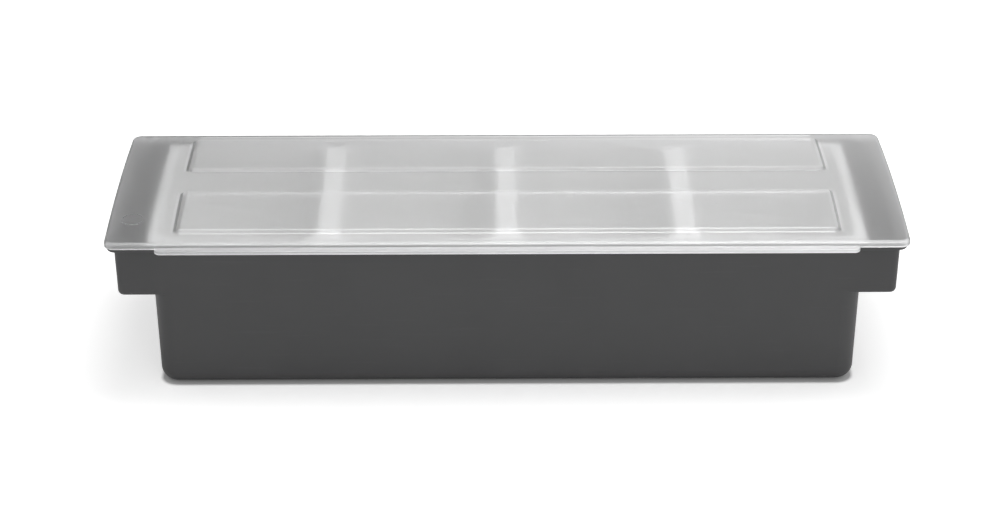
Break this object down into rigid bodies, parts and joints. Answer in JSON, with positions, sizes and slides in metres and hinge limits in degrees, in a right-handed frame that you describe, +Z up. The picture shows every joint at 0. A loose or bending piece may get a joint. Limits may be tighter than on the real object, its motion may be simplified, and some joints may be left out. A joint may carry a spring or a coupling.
{
  "type": "condiment holder",
  "caption": "Long table-top condiment holder: a tray of lift-out bins over an ice space, with end pockets and an arched translucent lid that hinges at the back.",
  "frame": {"origin": "centre of the overall box, on the surface the holder stands on", "axes": "+X along the holder to the right, -Y towards the front lip, +Z up"},
  "size_m": [0.5, 0.1644, 0.1103],
  "materials": {
    "tray": "fine matte",
    "lid": "frosted, translucent",
    "bin": "satin",
    "pin": "satin"
  },
  "bodies": {
    "base": {"base_tray": "tray", "hinge_pin_left": "pin", "hinge_pin_right": "pin"},
    "lid": {"lid": "lid"},
    "insert_1": {"insert_1": "bin"},
    "insert_2": {"insert_2": "bin"},
    "insert_3": {"insert_3": "bin"},
    "insert_4": {"insert_4": "bin"}
  },
  "joints": [
    {"name": "lid_hinge", "type": "hinge", "parent": "base", "child": "lid", "pos_m": [0, 0.0795, 0.098], "axis": [-1, 0, 0], "range_deg": [0, 105]},
    {"name": "insert_1_lift", "type": "slide", "parent": "base", "child": "insert_1", "axis": [0, 0, 1], "range_m": [0, 0.003]},
    {"name": "insert_2_lift", "type": "slide", "parent": "base", "child": "insert_2", "axis": [0, 0, 1], "range_m": [0, 0.003]},
    {"name": "insert_3_lift", "type": "slide", "parent": "base", "child": "insert_3", "axis": [0, 0, 1], "range_m": [0, 0.003]},
    {"name": "insert_4_lift", "type": "slide", "parent": "base", "child": "insert_4", "axis": [0, 0, 1], "range_m": [0, 0.003]}
  ]
}
